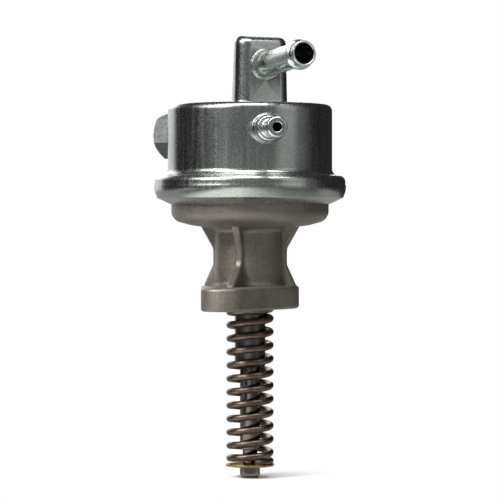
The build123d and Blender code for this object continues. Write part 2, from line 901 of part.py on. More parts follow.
parts = {
    "top_cover": make_top_cover(),
    "outlet_tube": make_outlet_tube(),
    "return_nipple": make_return_nipple(),
    "inlet_fitting": make_inlet_fitting(),
    "lower_body": make_lower_body(),
    "guide_sleeve": make_guide_sleeve(),
    "push_rod": make_push_rod(),
    "link_pin": make_link_pin(),
    "spring_retainer": make_spring_retainer(),
    "return_spring": make_return_spring(),
    "diaphragm": make_diaphragm(),
    "upper_plate": make_upper_plate(),
    "lower_plate": make_lower_plate(),
    "diaphragm_stem": make_stem(),
    "stem_washer": make_stem_washer(),
    "stem_seal": make_stem_seal(),
    "seal_retainer": make_seal_retainer(),
    "diaphragm_spring": make_diaphragm_spring(),
    "valve_body": make_valve_body(),
    "cover_gasket": make_cover_gasket(),
    "partition_seal": make_partition_seal(),
}
for name, side in (("inlet", -1), ("outlet", 1)):
    parts[f"{name}_valve_seat"] = place_valve(make_valve_seat(), side)
    parts[f"{name}_valve_disc"] = place_valve(make_valve_disc(), side)
    parts[f"{name}_valve_spring"] = place_valve(make_valve_spring(), side)
    parts[f"{name}_valve_cap"] = place_valve(make_valve_cap(), side)

os.makedirs("parts", exist_ok=True)
for node, solid in parts.items():
    export_step(solid, f"parts/{node}.step")
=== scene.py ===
import math

import bpy
from mathutils import Matrix, Vector


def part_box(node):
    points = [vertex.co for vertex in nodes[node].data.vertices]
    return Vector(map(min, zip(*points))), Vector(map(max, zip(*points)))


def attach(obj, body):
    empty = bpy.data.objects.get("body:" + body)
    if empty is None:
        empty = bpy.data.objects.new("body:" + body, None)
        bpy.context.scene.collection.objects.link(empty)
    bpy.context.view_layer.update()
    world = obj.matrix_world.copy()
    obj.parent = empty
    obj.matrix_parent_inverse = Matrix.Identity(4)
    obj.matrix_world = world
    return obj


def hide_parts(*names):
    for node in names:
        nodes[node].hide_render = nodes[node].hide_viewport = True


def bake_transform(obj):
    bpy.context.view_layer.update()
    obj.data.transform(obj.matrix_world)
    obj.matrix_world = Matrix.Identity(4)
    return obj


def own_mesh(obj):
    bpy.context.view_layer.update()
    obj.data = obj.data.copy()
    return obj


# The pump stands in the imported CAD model's frame, in metres: Z along the plunger, the mounting
# flange's underside at zero, the bolts along Y.
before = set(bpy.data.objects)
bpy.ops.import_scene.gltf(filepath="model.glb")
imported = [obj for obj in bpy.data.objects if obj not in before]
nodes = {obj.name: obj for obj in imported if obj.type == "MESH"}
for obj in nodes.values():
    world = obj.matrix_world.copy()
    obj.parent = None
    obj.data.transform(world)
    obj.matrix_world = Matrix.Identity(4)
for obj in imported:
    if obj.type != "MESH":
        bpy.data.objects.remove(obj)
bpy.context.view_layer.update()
mm = 0.001


# The photographer's studio: white paper on a table in a white room, and a ring of cards that glow in
# dark and grey and that only reflections show, so that their glow paints the metal's reflections. One
# soft lamp stands in front at the left, one hangs overhead, and two weak ones stand at the right and
# behind.
def linear(hex_colour):
    """Linear colour with full alpha from an sRGB hex colour such as #8a8f8d."""
    channels = [int(hex_colour[i : i + 2], 16) / 255 for i in (1, 3, 5)]
    return [c / 12.92 if c <= 0.04045 else ((c + 0.055) / 1.055) ** 2.4 for c in channels] + [1.0]


def add(tree, kind, inputs=None, **settings):
    """Adds a node; each input gets a value or the output socket that feeds it."""
    node = tree.nodes.new(kind)
    for name, value in settings.items():
        setattr(node, name, value)
    for name, value in (inputs or {}).items():
        if isinstance(value, bpy.types.NodeSocket):
            tree.links.new(value, node.inputs[name])
        else:
            node.inputs[name].default_value = value
    return node


def new_material(name):
    """A node material with only its shader and output; gives the material, its tree and shader."""
    material = bpy.data.materials.new(name)
    material.use_nodes = True
    return material, material.node_tree, material.node_tree.nodes["Principled BSDF"]


def shown_white(tree):
    """1 for rays from the camera and for reflected and refracted ones, 0 for those that light."""
    ray = add(tree, "ShaderNodeLightPath")
    direct = {0: ray.outputs["Is Camera Ray"], 1: ray.outputs["Is Glossy Ray"]}
    shown = add(tree, "ShaderNodeMath", direct, operation="MAXIMUM")
    shown = {0: shown.outputs[0], 1: ray.outputs["Is Transmission Ray"]}
    return add(tree, "ShaderNodeMath", shown, operation="MAXIMUM").outputs[0]


def toward(bearing):
    """Level direction of a bearing, from -Y at 0 through +X at 90."""
    return Vector((math.sin(math.radians(bearing)), -math.cos(math.radians(bearing)), 0))


# The camera is level. Its lens and sensor are in millimetres, as Blender takes them, and its frame
# is shifted down by camera_drop_px of its picture_px pixels.
camera_bearing = 17
camera_distance = 0.95
camera_height = 0.0365
camera_lens = 180
camera_sensor = 36
picture_px = 500
camera_drop_px = 38
nearest_seen = 0.05
farthest_seen = 50
camera_data = bpy.data.cameras.new("camera")
camera_data.lens = camera_lens
camera_data.sensor_width = camera_sensor
camera_data.shift_y = -camera_drop_px / picture_px
camera_data.clip_start = nearest_seen
camera_data.clip_end = farthest_seen
camera = bpy.data.objects.new("camera", camera_data)
camera.location = toward(camera_bearing) * camera_distance + Vector((0, 0, camera_height))
camera.rotation_euler = (math.radians(90), 0, math.radians(camera_bearing))
bpy.context.scene.collection.objects.link(camera)
bpy.context.scene.camera = camera
bpy.context.scene.view_settings.view_transform = "Standard"

# The room looks white, but it lights the pump only weakly.
world = bpy.data.worlds.new("white_room")
bpy.context.scene.world = world
world.use_nodes = True
room = world.node_tree
room_light = 0.16
level = add(
    room, "ShaderNodeMapRange", {"Value": shown_white(room), "To Min": room_light, "To Max": 1.0},
)
room.nodes["Background"].inputs["Color"].default_value = linear("#ffffff")
room.links.new(level.outputs[0], room.nodes["Background"].inputs["Strength"])

# The table is matt white paper. It keeps the shadow near the pump and fades to the room's white.
table_gap = 0.2 * mm
table_size = 40
shadow_reach = 0.04
table_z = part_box("push_rod")[0].z - table_gap
bpy.ops.mesh.primitive_plane_add(size=table_size, location=(0, 0, table_z))
table = bpy.context.object
table.name = "table"
paper, tree, shader = new_material("white_paper")
shader.inputs["Base Color"].default_value = linear("#fbfbfb")
shader.inputs["Roughness"].default_value = 0.9
shader.inputs["Specular IOR Level"].default_value = 0.1
place = add(tree, "ShaderNodeTexCoord")
distance = add(tree, "ShaderNodeVectorMath", {0: place.outputs["Object"]}, operation="LENGTH")
fade_from = {"Value": distance.outputs["Value"], "From Min": 0.0, "From Max": shadow_reach}
far = add(tree, "ShaderNodeMapRange", fade_from, interpolation_type="SMOOTHSTEP")
share = add(tree, "ShaderNodeMath", {0: shown_white(tree), 1: far.outputs[0]}, operation="MULTIPLY")
white = add(tree, "ShaderNodeEmission", {"Color": linear("#ffffff"), "Strength": 1.0})
fade = add(
    tree, "ShaderNodeMixShader", {0: share.outputs[0], 1: shader.outputs[0], 2: white.outputs[0]},
)
tree.links.new(fade.outputs[0], tree.nodes["Material Output"].inputs["Surface"])
table.data.materials.append(paper)

# name, bearing of its middle, degrees that it covers, heights of its lower and upper edge above the
# table, colour that it glows with as a painted reflection
cards = [
    ("card_left", -81, 62, 0.0, 0.85, "#181818"),
    ("card_left_front", -40, 20, 0.0, 0.85, "#464646"),
    ("card_front", 13, 86, 0.0, 0.85, "#6c6c6c"),
    ("card_right_front", 69, 26, 0.0, 0.168, "#a4a4a4"),
    ("card_right_high", 69, 26, 0.168, 0.85, "#d2d2d2"),
    ("card_right_side", 92, 20, 0.0, 0.85, "#666666"),
    ("card_right", 145, 86, 0.0, 0.85, "#2a2a2a"),
    ("card_behind", -142, 60, 0.4, 0.85, "#383838"),
]
card_distance = 0.5
for name, bearing, covers, card_foot, card_top, colour in cards:
    card_width = 2 * card_distance * math.tan(math.radians(covers / 2))
    bpy.ops.mesh.primitive_plane_add(size=1)
    card = bpy.context.object
    card.name = name
    card.data.transform(Matrix.Diagonal((card_width, card_top - card_foot, 1, 1)))
    card.rotation_euler = (math.radians(90), 0, math.radians(bearing))
    card_middle = table_z + (card_foot + card_top) / 2
    card.location = toward(bearing) * card_distance + Vector((0, 0, card_middle))
    # The card glows with its colour whatever light falls on it: a painted reflection, not a lit card.
    glow_board, tree, _ = new_material(name + "_board")
    painted_glow = add(tree, "ShaderNodeEmission", {"Color": linear(colour), "Strength": 1.0})
    tree.links.new(painted_glow.outputs[0], tree.nodes["Material Output"].inputs["Surface"])
    card.data.materials.append(glow_board)
    card.visible_camera = False
    card.visible_diffuse = False
    card.visible_shadow = False

# Three cloths lie on the table where only the metal's reflections show them. They glow, as painted
# reflections of a lit table. The wide one in front is bright at the left and darker toward both sides,
# a painted pool of light, a grey one lies behind the pump, and a small one in front of the push rod.
cloth_size = 1.2
cloth_left = 0.4
cloth_glow = 1.6
cloth_shade, tree, _ = new_material("shaded_cloth")
# how far right of the axis, and the colour that the cloth glows with there: a painted pool of light
cloth_tones = [
    (-0.23, "#444444"),
    (-0.16, "#ffffff"),
    (0.0, "#d0d0d0"),
    (0.1, "#808080"),
    (0.33, "#444444"),
]
place = add(tree, "ShaderNodeTexCoord")
across = add(tree, "ShaderNodeSeparateXYZ", {"Vector": place.outputs["Object"]})
reach = {"Value": across.outputs["X"], "From Min": -cloth_size / 2, "From Max": cloth_size / 2}
span = add(tree, "ShaderNodeMapRange", reach)
shade = add(tree, "ShaderNodeValToRGB", {"Fac": span.outputs[0]})
stops = shade.color_ramp.elements
for index, (right, colour) in enumerate(cloth_tones):
    share = (cloth_left + right) / cloth_size
    stop = stops[0] if index == 0 else stops.new(share)
    stop.position = share
    stop.color = linear(colour)
stops[-1].color = linear(cloth_tones[-1][1])
painted_glow = add(tree, "ShaderNodeEmission", {"Color": shade.outputs["Color"], "Strength": cloth_glow})
tree.links.new(painted_glow.outputs[0], tree.nodes["Material Output"].inputs["Surface"])
grey_glow_cloth = bpy.data.materials["card_right_front_board"]
# name, width, how far right of the axis its middle lies, how far in front, height above the table,
# glowing material
cloths = [
    ("cloth_wide", cloth_size, cloth_size / 2 - cloth_left, cloth_size / 2, 1.0 * mm, cloth_shade),
    ("cloth_behind", cloth_size, 0.0, -cloth_size / 2, 1.0 * mm, grey_glow_cloth),
    ("cloth_front", 0.06, 0.004, 0.035, 1.5 * mm, grey_glow_cloth),
]
for name, width, right, ahead, height, material in cloths:
    bpy.ops.mesh.primitive_plane_add(size=width)
    cloth = bpy.context.object
    cloth.name = name
    cloth.rotation_euler = (0, 0, math.radians(camera_bearing))
    spot = toward(camera_bearing + 90) * right + toward(camera_bearing) * ahead
    cloth.location = spot + Vector((0, 0, table_z + height))
    cloth.data.materials.append(material)
    cloth.visible_camera = False
    cloth.visible_diffuse = False
    cloth.visible_shadow = False

# A dark ceiling hangs above the lamps, so that the top of the drum mirrors something dark.
ceiling_size = 2.6
ceiling_middle = (0, -0.2, 1.5)
bpy.ops.mesh.primitive_plane_add(size=ceiling_size, location=ceiling_middle)
ceiling = bpy.context.object
ceiling.name = "card_above"
dark_ceiling, tree, shader = new_material("dark_ceiling")
shader.inputs["Base Color"].default_value = linear("#2a2a2a")
shader.inputs["Roughness"].default_value = 0.9
ceiling.data.materials.append(dark_ceiling)
ceiling.visible_camera = False

# name, bearing, height, distance, width and height of the lamp, power in watts
lamps = [
    ("light_above", 20, 1.0, 0.4, 1.2, 0.5, 10.0),
    ("light_front", -36, 0.75, 0.95, 0.45, 0.4, 17.0),
    ("light_side", 50, 0.8, 0.9, 0.5, 0.4, 1.0),
    ("light_behind", -150, 0.5, 1.0, 0.9, 0.6, 2.0),
]
lamp_aim = Vector((0, 0, 0.04))
for name, bearing, height, distance, width, tall, power in lamps:
    lamp_data = bpy.data.lights.new(name, "AREA")
    lamp_data.shape = "RECTANGLE"
    lamp_data.size = width
    lamp_data.size_y = tall
    lamp_data.energy = power
    lamp = bpy.data.objects.new(name, lamp_data)
    lamp.location = toward(bearing) * distance + Vector((0, 0, height))
    lamp.rotation_euler = (lamp_aim - lamp.location).to_track_quat("-Z", "Y").to_euler()
    lamp.visible_camera = False
    bpy.context.scene.collection.objects.link(lamp)


# Lower casting: pressure die-cast aluminium, blasted after casting, its underside and bore machined.
# It carries everything, and two bolts through its flange hold it to the engine.
def give(piece, material):
    """The piece takes this material in place of the one it came with."""
    piece.data.materials.clear()
    piece.data.materials.append(material)


def worn_edges(tree, width):
    """1 on an edge and 0 on a face: where handling has rubbed a finish bright."""
    rounded = add(tree, "ShaderNodeBevel", {"Radius": width}, samples=4)
    face = add(tree, "ShaderNodeNewGeometry")
    both = {0: rounded.outputs["Normal"], 1: face.outputs["Normal"]}
    alike = add(tree, "ShaderNodeVectorMath", both, operation="DOT_PRODUCT")
    flat = 0.995
    edge = 0.86
    limits = {"Value": alike.outputs["Value"], "From Min": flat, "From Max": edge}
    return add(tree, "ShaderNodeMapRange", limits).outputs[0]


die_cast, tree, shader = new_material("blasted_die_cast_aluminium")
# The skin is dull and a warm grey. It has a fine blasted grain, drawn here 0.7 mm wide so that it
# shows, faint clouds where the metal chilled, and edges that handling has rubbed brighter.
place = add(tree, "ShaderNodeTexCoord")
grain_size = 0.7 * mm
grain_depth = 0.05 * mm
cloud_size = 14 * mm
worn_width = 0.5 * mm
worn_share = 0.35
grain = add(
    tree, "ShaderNodeTexNoise",
    {"Vector": place.outputs["Object"], "Scale": 1 / grain_size, "Detail": 3.0, "Roughness": 0.6},
)
clouds = add(
    tree, "ShaderNodeTexNoise",
    {"Vector": place.outputs["Object"], "Scale": 1 / cloud_size, "Detail": 2.0},
)
tone = add(tree, "ShaderNodeValToRGB", {"Fac": clouds.outputs["Fac"]})
tone.color_ramp.elements[0].position = 0.35
tone.color_ramp.elements[0].color = linear("#8b857e")
tone.color_ramp.elements[1].position = 0.68
tone.color_ramp.elements[1].color = linear("#9c968e")
speckle = add(tree, "ShaderNodeValToRGB", {"Fac": grain.outputs["Fac"]})
speckle.color_ramp.elements[0].position = 0.3
speckle.color_ramp.elements[0].color = linear("#cdcac6")
speckle.color_ramp.elements[1].position = 0.7
speckle.color_ramp.elements[1].color = linear("#ffffff")
grained = add(
    tree, "ShaderNodeMix", {0: 1.0, 6: tone.outputs["Color"], 7: speckle.outputs["Color"]},
    data_type="RGBA", blend_type="MULTIPLY",
)
edges = worn_edges(tree, worn_width)
worn = add(tree, "ShaderNodeMath", {0: edges, 1: worn_share}, operation="MULTIPLY")
rubbed = add(
    tree, "ShaderNodeMix", {0: worn.outputs[0], 6: grained.outputs[2], 7: linear("#c9c3ba")},
    data_type="RGBA",
)
tree.links.new(rubbed.outputs[2], shader.inputs["Base Color"])
dull = add(
    tree, "ShaderNodeMapRange", {"Value": grain.outputs["Fac"], "To Min": 0.42, "To Max": 0.6},
)
tree.links.new(dull.outputs[0], shader.inputs["Roughness"])
shader.inputs["Metallic"].default_value = 0.85
bump = add(
    tree, "ShaderNodeBump",
    {"Height": grain.outputs["Fac"], "Strength": 0.5, "Distance": grain_depth},
)
tree.links.new(bump.outputs[0], shader.inputs["Normal"])
give(nodes["lower_body"], die_cast)

# Guide sleeve: a steel tube pressed into the casting, black from its hot oil bath.
# The push rod slides in it, and the return spring stands round it.
black_steel, tree, shader = new_material("oil_blacked_steel")
# Nearly black and satin, with the faint uneven sheen that the oil leaves.
place = add(tree, "ShaderNodeTexCoord")
film_size = 2.5 * mm
film_depth = 0.01 * mm
film = add(
    tree, "ShaderNodeTexNoise",
    {"Vector": place.outputs["Object"], "Scale": 1 / film_size, "Detail": 4.0},
)
tone = add(tree, "ShaderNodeValToRGB", {"Fac": film.outputs["Fac"]})
tone.color_ramp.elements[0].position = 0.3
tone.color_ramp.elements[0].color = linear("#5a5753")
tone.color_ramp.elements[1].position = 0.7
tone.color_ramp.elements[1].color = linear("#75726d")
tree.links.new(tone.outputs["Color"], shader.inputs["Base Color"])
dull = add(
    tree, "ShaderNodeMapRange", {"Value": film.outputs["Fac"], "To Min": 0.22, "To Max": 0.34},
)
tree.links.new(dull.outputs[0], shader.inputs["Roughness"])
shader.inputs["Metallic"].default_value = 1.0
bump = add(
    tree, "ShaderNodeBump",
    {"Height": film.outputs["Fac"], "Strength": 0.2, "Distance": film_depth},
)
tree.links.new(bump.outputs[0], shader.inputs["Normal"])
give(nodes["guide_sleeve"], black_steel)

# Push rod: hardened steel, ground to size, with a groove for the spring's washer near its end.
# A cross pin in its socket pulls the diaphragm's stem down.
rod_steel_with_painted_shade, tree, shader = new_material("hardened_steel_painted_dark")
# A hard bright steel with a slight warmth from the oil, and fine rings left by the grinding wheel.
# Its colour is painted far darker than bright steel: painted shade for the coils' shadow on the rod
# and the dark room that it mirrors.
place = add(tree, "ShaderNodeTexCoord")
ring_spacing = 0.35 * mm
ring_length = 6 * mm
ring_depth = 0.002 * mm
ring_scale = (1 / ring_length, 1 / ring_length, 1 / ring_spacing)
lay = add(tree, "ShaderNodeMapping", {"Vector": place.outputs["Object"], "Scale": ring_scale})
grinding = add(
    tree, "ShaderNodeTexNoise", {"Vector": lay.outputs["Vector"], "Scale": 1.0, "Detail": 3.0},
)
# The two tones are painted shade, much darker than the steel itself.
tone = add(tree, "ShaderNodeValToRGB", {"Fac": grinding.outputs["Fac"]})
tone.color_ramp.elements[0].position = 0.3
tone.color_ramp.elements[0].color = linear("#69625b")
tone.color_ramp.elements[1].position = 0.7
tone.color_ramp.elements[1].color = linear("#7c756d")
tree.links.new(tone.outputs["Color"], shader.inputs["Base Color"])
polish = add(
    tree, "ShaderNodeMapRange", {"Value": grinding.outputs["Fac"], "To Min": 0.05, "To Max": 0.12},
)
tree.links.new(polish.outputs[0], shader.inputs["Roughness"])
shader.inputs["Metallic"].default_value = 1.0
bump = add(
    tree, "ShaderNodeBump",
    {"Height": grinding.outputs["Fac"], "Strength": 0.05, "Distance": ring_depth},
)
tree.links.new(bump.outputs[0], shader.inputs["Normal"])
# The pin and the stem take the same steel with its painted shade.
for name in ("push_rod", "link_pin", "diaphragm_stem"):
    give(nodes[name], rod_steel_with_painted_shade)

# Spring retainer: a slotted washer of yellow chromated steel, slid sideways into the rod's groove.
# It carries the lower end of the return spring.
yellow_zinc, tree, shader = new_material("yellow_chromate_zinc_plate")
# Straw yellow that drifts between paler and browner, as the thin chromate film does.
place = add(tree, "ShaderNodeTexCoord")
film_size = 3 * mm
film = add(
    tree, "ShaderNodeTexNoise",
    {"Vector": place.outputs["Object"], "Scale": 1 / film_size, "Detail": 3.0},
)
tone = add(tree, "ShaderNodeValToRGB", {"Fac": film.outputs["Fac"]})
tone.color_ramp.elements[0].position = 0.3
tone.color_ramp.elements[0].color = linear("#9c8350")
tone.color_ramp.elements[1].position = 0.7
tone.color_ramp.elements[1].color = linear("#c4ad7c")
tree.links.new(tone.outputs["Color"], shader.inputs["Base Color"])
dull = add(
    tree, "ShaderNodeMapRange", {"Value": film.outputs["Fac"], "To Min": 0.25, "To Max": 0.4},
)
tree.links.new(dull.outputs[0], shader.inputs["Roughness"])
shader.inputs["Metallic"].default_value = 1.0
give(nodes["spring_retainer"], yellow_zinc)


# Return spring: oil-tempered wire, wound with closed ends that are ground flat. It stands between
# the casting and the retainer, and shortens as the cam pushes the rod up.

# Points closer together than weld are merged, and edges under wire_smooth degrees look smooth.
weld = 0.001 * mm
wire_smooth = 50


def wind_spring(name, coil_r, wire, low, high, turns, start_bearing, at=(0, 0), steps=40, sides=14):
    """Spring of round wire that stands from low to high on the point at, its ends ground flat."""
    ground_share = 0.15
    ground = ground_share * wire
    closing = wire - ground
    rise = high - low - wire + 2 * ground
    bpy.ops.mesh.primitive_circle_add(
        vertices=sides, radius=wire / 2, fill_type="NOTHING",
        location=(coil_r, 0, low - ground + wire / 2), rotation=(math.radians(90), 0, 0),
    )
    spring = bpy.context.object
    spring.name = name
    bpy.ops.object.transform_apply()
    bpy.ops.object.modifier_add(type="SCREW")
    screw = spring.modifiers[-1]
    screw.angle = 2 * math.pi * turns
    screw.screw_offset = 0
    screw.steps = screw.render_steps = round(turns * steps)
    screw.use_merge_vertices = False
    bpy.ops.object.modifier_apply(modifier=screw.name)
    for index, vertex in enumerate(spring.data.vertices):
        turn = turns * (index // sides) / round(turns * steps)
        if turn <= 1:
            lift = closing * turn**2
        elif turn >= turns - 1:
            lift = rise - closing * (turns - turn) ** 2
        else:
            lift = closing + (rise - 2 * closing) * (turn - 1) / (turns - 2)
        vertex.co.z += lift
    spring.rotation_euler = (0, 0, math.radians(start_bearing - 90))
    spring.location = (at[0], at[1], 0)
    bpy.ops.object.transform_apply()
    bpy.ops.object.mode_set(mode="EDIT")
    bpy.ops.mesh.select_all(action="SELECT")
    bpy.ops.mesh.fill_holes(sides=0)
    for height, lower in ((low, True), (high, False)):
        bpy.ops.mesh.select_all(action="SELECT")
        bpy.ops.mesh.bisect(
            plane_co=(0, 0, height), plane_no=(0, 0, 1), use_fill=True,
            clear_inner=lower, clear_outer=not lower,
        )
    bpy.ops.mesh.select_all(action="SELECT")
    bpy.ops.mesh.remove_doubles(threshold=weld)
    bpy.ops.mesh.normals_make_consistent(inside=False)
    bpy.ops.object.mode_set(mode="OBJECT")
    bpy.ops.object.shade_smooth_by_angle(angle=math.radians(wire_smooth))
    return spring


spring_wire, tree, shader = new_material("oil_tempered_spring_wire")
# Dark bronze brown with a soft sheen, slightly streaked by the thin scale that tempering leaves.
place = add(tree, "ShaderNodeTexCoord")
scale_size = 3 * mm
scale_depth = 0.01 * mm
scale_skin = add(
    tree, "ShaderNodeTexNoise",
    {"Vector": place.outputs["Object"], "Scale": 1 / scale_size, "Detail": 2.0, "Roughness": 0.5},
)
tone = add(tree, "ShaderNodeValToRGB", {"Fac": scale_skin.outputs["Fac"]})
tone.color_ramp.elements[0].position = 0.3
tone.color_ramp.elements[0].color = linear("#64564b")
tone.color_ramp.elements[1].position = 0.75
tone.color_ramp.elements[1].color = linear("#86756a")
tree.links.new(tone.outputs["Color"], shader.inputs["Base Color"])
dull = add(
    tree, "ShaderNodeMapRange", {"Value": scale_skin.outputs["Fac"], "To Min": 0.3, "To Max": 0.38},
)
tree.links.new(dull.outputs[0], shader.inputs["Roughness"])
shader.inputs["Metallic"].default_value = 1.0
bump = add(
    tree, "ShaderNodeBump",
    {"Height": scale_skin.outputs["Fac"], "Strength": 0.04, "Distance": scale_depth},
)
tree.links.new(bump.outputs[0], shader.inputs["Normal"])

spring_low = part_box("spring_retainer")[1].z
# the spring's upper end stands in a shallow seat turned into the casting's underside
spring_high = 0.8 * mm
spring_coil_r = 7.7 * mm
spring_wire_d = 2.65 * mm
spring_pitch = 5.085 * mm
spring_end_turns = 2
spring_start = 31
# the height that the closed and ground ends take up together
spring_closed = 2.4 * spring_wire_d
spring_length = spring_high - spring_low
spring_turns = spring_end_turns + (spring_length - spring_closed) / spring_pitch
return_spring = wind_spring(
    "return_spring_wire", spring_coil_r, spring_wire_d, spring_low, spring_high, spring_turns,
    start_bearing=spring_start,
)
give(return_spring, spring_wire)
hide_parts("return_spring")
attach(return_spring, "housing")
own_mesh(return_spring)

# Oil seal round the stem: nitrile rubber, moulded, with a feather lip. The drawn cup over it is
# zinc-plated steel, pressed into the casting, and its top carries the diaphragm's spring.
nitrile, tree, shader = new_material("moulded_nitrile_rubber")
# Black and matt, with the fine bloom that rubber gets.
place = add(tree, "ShaderNodeTexCoord")
bloom_size = 1.5 * mm
bloom_depth = 0.02 * mm
bloom = add(
    tree, "ShaderNodeTexNoise",
    {"Vector": place.outputs["Object"], "Scale": 1 / bloom_size, "Detail": 4.0},
)
tone = add(tree, "ShaderNodeValToRGB", {"Fac": bloom.outputs["Fac"]})
tone.color_ramp.elements[0].position = 0.35
tone.color_ramp.elements[0].color = linear("#1c1c1d")
tone.color_ramp.elements[1].position = 0.75
tone.color_ramp.elements[1].color = linear("#2f3031")
tree.links.new(tone.outputs["Color"], shader.inputs["Base Color"])
dull = add(
    tree, "ShaderNodeMapRange", {"Value": bloom.outputs["Fac"], "To Min": 0.5, "To Max": 0.7},
)
tree.links.new(dull.outputs[0], shader.inputs["Roughness"])
bump = add(
    tree, "ShaderNodeBump",
    {"Height": bloom.outputs["Fac"], "Strength": 0.2, "Distance": bloom_depth},
)
tree.links.new(bump.outputs[0], shader.inputs["Normal"])
for name in ("stem_seal", "partition_seal"):
    give(nodes[name], nitrile)

zinc_sheet, tree, shader = new_material("zinc_plated_drawn_steel")
# Cool grey with a trace of green from the clear passivation, and almost a mirror. The drawing die
# leaves faint upright streaks, and the plating has fine crystals, drawn 0.6 mm wide so that they show.
place = add(tree, "ShaderNodeTexCoord")
crystal_size = 0.6 * mm
crystal_depth = 0.01 * mm
crystals = add(
    tree, "ShaderNodeTexNoise",
    {"Vector": place.outputs["Object"], "Scale": 1 / crystal_size, "Detail": 2.0, "Roughness": 0.6},
)
streak_width = 1.2 * mm
streak_length = 40 * mm
streak_depth = 0.01 * mm
streak_scale = (1 / streak_width, 1 / streak_width, 1 / streak_length)
drawn = add(tree, "ShaderNodeMapping", {"Vector": place.outputs["Object"], "Scale": streak_scale})
streaks = add(
    tree, "ShaderNodeTexNoise", {"Vector": drawn.outputs["Vector"], "Scale": 1.0, "Detail": 2.0},
)
cloud_size = 13 * mm
clouds = add(
    tree, "ShaderNodeTexNoise",
    {"Vector": place.outputs["Object"], "Scale": 1 / cloud_size, "Detail": 3.0},
)
tone = add(tree, "ShaderNodeValToRGB", {"Fac": clouds.outputs["Fac"]})
tone.color_ramp.elements[0].position = 0.35
tone.color_ramp.elements[0].color = linear("#babeba")
tone.color_ramp.elements[1].position = 0.65
tone.color_ramp.elements[1].color = linear("#cbd0cb")
speckle = add(tree, "ShaderNodeValToRGB", {"Fac": crystals.outputs["Fac"]})
speckle.color_ramp.elements[0].position = 0.35
speckle.color_ramp.elements[0].color = linear("#e2e2e2")
speckle.color_ramp.elements[1].position = 0.65
speckle.color_ramp.elements[1].color = linear("#ffffff")
plated = add(
    tree, "ShaderNodeMix", {0: 1.0, 6: tone.outputs["Color"], 7: speckle.outputs["Color"]},
    data_type="RGBA", blend_type="MULTIPLY",
)
tree.links.new(plated.outputs[2], shader.inputs["Base Color"])
uneven = add(
    tree, "ShaderNodeMath", {0: crystals.outputs["Fac"], 1: streaks.outputs["Fac"]},
    operation="ADD",
)
dull = add(
    tree, "ShaderNodeMapRange",
    {"Value": uneven.outputs[0], "From Min": 0.7, "From Max": 1.3, "To Min": 0.2, "To Max": 0.31},
)
tree.links.new(dull.outputs[0], shader.inputs["Roughness"])
shader.inputs["Metallic"].default_value = 1.0
bump = add(
    tree, "ShaderNodeBump",
    {"Height": crystals.outputs["Fac"], "Strength": 0.03, "Distance": crystal_depth},
)
along = add(
    tree, "ShaderNodeBump",
    {
        "Height": streaks.outputs["Fac"], "Strength": 0.015, "Distance": streak_depth,
        "Normal": bump.outputs[0],
    },
)
tree.links.new(along.outputs[0], shader.inputs["Normal"])
give(nodes["seal_retainer"], zinc_sheet)

# Diaphragm spring: the same wire as the return spring's, thinner, wound with closed ground ends.
# It stands on the seal's cup and pushes the diaphragm up, which sets the fuel's pressure.
cup_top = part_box("seal_retainer")[1].z
# where the spring's end presses on the lower plate
plate_under = 39.0 * mm
pressure_coil_r = 7.1 * mm
pressure_wire_d = 1.8 * mm
pressure_spring = wind_spring(
    "diaphragm_spring_wire", pressure_coil_r, pressure_wire_d, cup_top, plate_under,
    turns=5, start_bearing=0,
)
give(pressure_spring, spring_wire)
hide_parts("diaphragm_spring")
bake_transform(pressure_spring)

# Diaphragm: polyester cloth coated with fuel-proof rubber, clamped at its edge between the casting
# and the valve plate. Two dished plates of zinc-plated steel grip its middle, riveted on the stem.

# Points closer together than ring_weld are merged, and edges under turned_smooth degrees look
# smooth.
ring_weld = 0.005 * mm
turned_smooth = 40


def rounded_section(corners, arc_step=9):
    """Points of an outline in radius and height; a corner's third number is its rounding."""
    points = []
    for index, (radius, height, rounding) in enumerate(corners):
        corner = Vector((radius, height))
        if not rounding:
            points.append(corner)
            continue
        back = (Vector(corners[index - 1][:2]) - corner).normalized()
        onward = (Vector(corners[index + 1][:2]) - corner).normalized()
        half = back.angle(onward) / 2
        centre = corner + (back + onward).normalized() * rounding / math.sin(half)
        first = corner + back * rounding / math.tan(half) - centre
        last = corner + onward * rounding / math.tan(half) - centre
        turn = math.pi - 2 * half
        steps = max(2, math.ceil(math.degrees(turn) / arc_step))
        for step in range(steps + 1):
            share = step / steps
            arm = first * math.sin((1 - share) * turn) + last * math.sin(share * turn)
            points.append(centre + arm / math.sin(turn))
    return points


def turn_rings(name, points, sides):
    """Piece turned about Z: a circle is extruded from ring to ring, and its ends are merged."""
    (ring_r, ring_z), *others = points
    bpy.ops.mesh.primitive_circle_add(
        vertices=sides, radius=ring_r, fill_type="NOTHING", location=(0, 0, ring_z),
    )
    piece = bpy.context.object
    piece.name = name
    bpy.ops.object.transform_apply()
    bpy.ops.object.mode_set(mode="EDIT")
    bpy.ops.mesh.select_all(action="SELECT")
    for radius, height in others:
        growth = radius / ring_r
        bpy.ops.mesh.extrude_region_move()
        bpy.ops.transform.resize(value=(growth, growth, 1), center_override=(0, 0, ring_z))
        bpy.ops.transform.translate(value=(0, 0, height - ring_z))
        ring_r, ring_z = radius, height
    bpy.ops.mesh.select_all(action="SELECT")
    bpy.ops.mesh.remove_doubles(threshold=ring_weld)
    bpy.ops.mesh.normals_make_consistent(inside=False)
    bpy.ops.object.mode_set(mode="OBJECT")
    bpy.ops.object.shade_smooth_by_angle(angle=math.radians(turned_smooth))
    return piece


coated_cloth, tree, shader = new_material("rubber_coated_polyester_cloth")
# Dull black brown; the weave under the coating shows as a faint grid, about 0.9 mm from thread
# to thread.
place = add(tree, "ShaderNodeTexCoord")
thread = 0.9 * mm
weave_depth = 0.08 * mm
